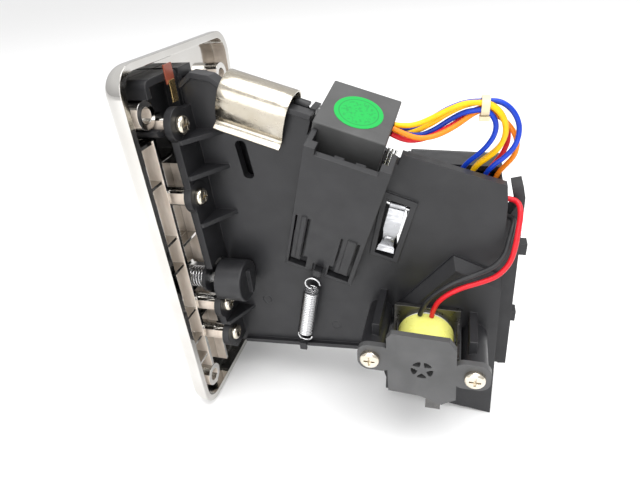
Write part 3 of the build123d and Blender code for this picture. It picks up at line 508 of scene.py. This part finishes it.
def helix(start, end, radius, turns, per_turn=20):
    """Points of a helix between two points on its axis."""
    start, end = Vector(start), Vector(end)
    axis = (end - start).normalized()
    a = axis.orthogonal().normalized()
    b = axis.cross(a)
    count = int(turns * per_turn)
    line = []
    for i in range(count + 1):
        angle = tau * turns * i / count
        line.append(start.lerp(end, i / count) + (a * cos(angle) + b * sin(angle)) * radius)
    return line


def smooth_line(points, steps):
    """Catmull-Rom points through a line of points."""
    line = [Vector(p) for p in points]
    ends = [line[0] * 2 - line[1]] + line + [line[-1] * 2 - line[-2]]
    out = []
    for p0, p1, p2, p3 in zip(ends, ends[1:], ends[2:], ends[3:]):
        for i in range(steps):
            t = i / steps
            out.append(0.5 * (2 * p1 + (p2 - p0) * t + (2 * p0 - 5 * p1 + 4 * p2 - p3) * t * t
                              + (3 * p1 - p0 - 3 * p2 + p3) * t * t * t))
    return out + [line[-1]]


def grid_mesh(name, rows):
    """Open sheet through equal rows of points."""
    n = len(rows[0])
    faces = []
    for i in range(len(rows) - 1):
        for k in range(n - 1):
            faces.append((i * n + k, i * n + k + 1, (i + 1) * n + k + 1, (i + 1) * n + k))
    return mesh_of(name, [p for row in rows for p in row], faces)


def round_corners(made):
    """Small bevel on an object's sharp edges."""
    edge = made.modifiers.new("edge", "BEVEL")
    edge.width = CORNER_ROUND * MM
    edge.segments = 2
    edge.limit_method = "ANGLE"
    edge.angle_limit = radians(50)


def thicken(made, thickness, offset):
    """Gives an open sheet its thickness in mm, on one side or both, and softens its edges."""
    solid = made.modifiers.new("thickness", "SOLIDIFY")
    solid.thickness = thickness * MM
    solid.offset = offset
    round_corners(made)


# ---- cable tie ----
TIE_MIDDLE = Vector((3.1, 91.2, 47.5))
TIE_HALF_WIDTH = 1.1
TIE_INSIDE = (2.95, 2.15)
TIE_OUTSIDE = (3.3, 2.5)
TIE_SIDES = 44
LOCK_CORNERS = ((0.2, -1.4), (2.6, -1.4), (2.6, 1.4), (0.2, 1.4))
LOCK_HEIGHTS = (-3.7, -2.4)
BOX_FACES = ((0, 3, 2, 1), (4, 5, 6, 7), (0, 1, 5, 4), (1, 2, 6, 5), (2, 3, 7, 6), (3, 0, 4, 7))


def cable_tie():
    """Snug band round the six coil wires, with its lock underneath."""
    points, faces = [], []
    for i in range(TIE_SIDES):
        c, s = cos(tau * i / TIE_SIDES), sin(tau * i / TIE_SIDES)
        reach = (abs(c) ** 3 + abs(s) ** 3) ** (-1 / 3)
        for half_x, half_z in (TIE_INSIDE, TIE_OUTSIDE):
            for y in (-TIE_HALF_WIDTH, TIE_HALF_WIDTH):
                points.append(TIE_MIDDLE + Vector((c * reach * half_x, y, s * reach * half_z)))
        a, b = 4 * i, 4 * ((i + 1) % TIE_SIDES)
        faces += [(a, a + 1, b + 1, b), (a + 2, b + 2, b + 3, a + 3)]
        faces += [(a, b, b + 2, a + 2), (a + 1, a + 3, b + 3, b + 1)]
    first = len(points)
    points += [TIE_MIDDLE + Vector((x, y, z)) for z in LOCK_HEIGHTS for x, y in LOCK_CORNERS]
    faces += [tuple(first + k for k in face) for face in BOX_FACES]
    mesh = mesh_of("tie_band", points, faces, False)
    round_corners(piece("tie_band", mesh, "frame", "cream_nylon", "cable_tie"))


cable_tie()


# ---- springs ----
def carriage_spring():
    """Close-wound tension spring with a loop at each end."""
    top = Vector((14.0, 40.6, -8.6))
    low = Vector((13.3, 34.6, -37.6))
    coil_r, wire_r = 2.6, 0.4
    run = (low - top).normalized()
    a = top + run * 5.4
    b = low - run * 4.4
    side = run.cross(Vector((1, 0, 0))).normalized()
    other = run.cross(side)

    def loop(centre, way):
        """Most of a turn standing along the axis, facing the open side."""
        ring = []
        for i in range(23):
            angle = radians(-100 + 280 * i / 22)
            ring.append(centre + (side * cos(angle) * 2.6 + way * sin(angle) * 2.4))
        return ring

    line = loop(top + run * 2.4, -run)[::-1]
    line.append(a - run * 0.5 + side * 0.6 + other * 1.0)
    line += helix(a, b, coil_r, 24, 20)
    line.append(b + run * 0.5 + other * 1.2)
    line += loop(low - run * 2.2, run)
    mesh = sweep_tube("carriage_spring_coil", line, wire_r, 8)
    made = piece("carriage_spring_coil", mesh, None, "spring_steel", "carriage_spring")
    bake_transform(made)


def compression_spring(name, node, fixed, moving, radius, wire_r):
    """Open coil of five turns between a seat on the frame and one on a moving body."""
    fixed, moving = Vector(fixed), Vector(moving)
    inset = (moving - fixed).normalized() * wire_r
    line = helix(fixed + inset, moving - inset, radius, 5, 22)
    made = piece(name, sweep_tube(name, line, wire_r, 8), None, "spring_steel", node)
    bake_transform(made)


carriage_spring()
compression_spring(
    "button_spring_coil", "button_spring",
    (17.5, 2.55, -9.5), (17.5, -3.55, -9.5), 3.5, 0.32,
)
compression_spring(
    "plunger_spring_coil", "plunger_spring",
    (14.0, 79.0, -25.4), (8.35, 79.0, -25.4), 4.2, 0.3,
)


# ---- clip ----
CLIP_U = -0.9
CLIP_WIDTH = 21.4
CLIP_SHEET = 0.6


def spring_clip():
    """U-shaped clip over the plates' top edges: profile in (x, height above the ramp)."""
    back = [(-1.3, 49.0), (-1.3, 52.5), (-1.3, 56.0)]
    angles = [radians(a) for a in range(160, -11, -10)]
    over = [(5.7 + 7.2 * cos(a), 55.4 + 5.8 * sin(a)) for a in angles]
    front = [(12.6, 52.2), (11.6, 49.4), (10.9, 47.8), (11.6, 46.4), (13.0, 45.2)]
    line = smooth_line([ramp_point(x, CLIP_U, v) for x, v in back + over + front], 4)
    rows = [[p + RAMP_U * CLIP_WIDTH * (k / 6) for k in range(7)] for p in line]
    made = piece("clip_sheet", grid_mesh("clip_sheet", rows), "frame", "clip_nickel", "spring_clip")
    thicken(made, CLIP_SHEET, -1.0)


spring_clip()


# ---- coin pawl ----
PAWL_PIN = Vector((8.6, 68.4, 18.2))
PAWL_DOWN = Vector((0, -0.233, -0.972)).normalized()
PAWL_ACROSS = PAWL_DOWN.cross(Vector((1, 0, 0)))
PAWL_HALF_WIDTH = 2.5
PAWL_COLUMNS = 20


def coin_pawl():
    """Waisted leaf with a flared lower end and a pressed half-round, rolled round its pin."""
    # (x from the pin, distance down from the pin)
    bends = [
        (0.85, 0.9), (1.75, 3.0), (2.45, 5.0), (2.55, 9.4),
        (1.45, 12.4), (0.85, 14.6), (2.15, 16.2),
    ]
    rows = []
    for p in smooth_line([(x, down, 0) for x, down in bends], 9):
        x, down = p.x, p.y
        waist = 0.7 * max(0, 1 - abs(down - 11.4) / 3.6) ** 0.6
        flare = 0.4 * max(0, (down - 14.0) / 2.2)
        half = PAWL_HALF_WIDTH - waist + flare
        row = []
        for k in range(PAWL_COLUMNS + 1):
            w = (2 * k / PAWL_COLUMNS - 1) * half
            pressed = 0.4 if (down - 11.8) ** 2 + w * w < 2.2 and down < 12.4 else 0.0
            row.append(PAWL_PIN + PAWL_DOWN * down + PAWL_ACROSS * w + Vector((x + pressed, 0, 0)))
        rows.append(row)
    leaf = piece("pawl_leaf", grid_mesh("pawl_leaf", rows), "pawl", "zinc_leaf", "coin_pawl")
    thicken(leaf, 0.45, 0.0)
    barrel = [PAWL_PIN + PAWL_ACROSS * w for w in (-2.5, -2.3, 2.3, 2.5)]
    piece("pawl_barrel", sweep_tube("pawl_barrel", barrel, 1.2, 20), "pawl", "zinc_leaf")


coin_pawl()


# ---- stage and light ----
def studio():
    scene = bpy.context.scene
    scene.view_settings.view_transform = "Standard"
    scene.view_settings.look = "None"
    scene.view_settings.exposure = 0.0
    scene.view_settings.gamma = 1.0
    world = bpy.data.worlds.new("studio")
    scene.world = world
    world.use_nodes = True
    tree = world.node_tree
    sky = tree.nodes["Background"]
    sky.inputs["Strength"].default_value = 1.0
    place = tree.nodes.new("ShaderNodeTexCoord")
    split = tree.nodes.new("ShaderNodeSeparateXYZ")
    tree.links.new(place.outputs["Generated"], split.inputs["Vector"])
    ramp = tree.nodes.new("ShaderNodeValToRGB")
    tree.links.new(split.outputs["Z"], ramp.inputs["Fac"])
    ramp.color_ramp.elements[0].position = 0.0
    ramp.color_ramp.elements[0].color = (0.62, 0.62, 0.62, 1)
    ramp.color_ramp.elements[1].position = 0.6
    ramp.color_ramp.elements[1].color = (1.0, 1.0, 1.0, 1)
    tree.links.new(ramp.outputs["Color"], sky.inputs["Color"])


def area_light(name, place, target, size, power):
    light = bpy.data.lights.new(name, "AREA")
    light.shape = "RECTANGLE"
    light.size, light.size_y = size
    light.energy = power
    made = bpy.data.objects.new(name, light)
    bpy.context.scene.collection.objects.link(made)
    place, target = Vector(place), Vector(target)
    aim = (target - place).to_track_quat("-Z", "Y").to_matrix().to_4x4()
    made.matrix_world = Matrix.Translation(place) @ aim


def floor():
    lo, hi = CAD_BOX
    middle = (Vector(lo) + Vector(hi)) / 2
    level = Vector(lo).z - 0.0002
    mesh = bpy.data.meshes.new("floor")
    reach = 4.0
    corners = [(-reach, -reach), (reach, -reach), (reach, reach), (-reach, reach)]
    mesh.from_pydata([(middle.x + x, middle.y + y, level) for x, y in corners], [], [(0, 1, 2, 3)])
    ground = bpy.data.objects.new("floor", mesh)
    bpy.context.scene.collection.objects.link(ground)
    shader = Shader("floor_paper", (0.9, 0.9, 0.9), 0.8)
    shader.tint(shader.spread(shader.noise(40, 3), 0.0, 0.3), (0.92, 0.92, 0.92))
    ground.data.materials.append(shader.material)


studio()
floor()
area_light("overhead", (0.1, 0.2, 0.9), (0.0, 0.04, 0.0), (0.9, 0.9), 10.0)
area_light("side", (0.8, -0.05, 0.3), (0.0, 0.04, 0.0), (0.7, 0.7), 4.2)


# ---- CAD parts that stay ----
# Two parts of black moulding with a look of their own.
SHADES = {"solenoid_cover": "cover_abs", "main_plate": "plate_abs"}


def paint_nodes():
    """Gives every carried-over CAD part its slot's material."""
    for part in frame["record"]["subparts"]:
        mesh = NODES[part["node"]].data
        mesh.materials.clear()
        mesh.materials.append(MATERIALS[SHADES.get(part["node"], part["material_slot"])])


paint_nodes()
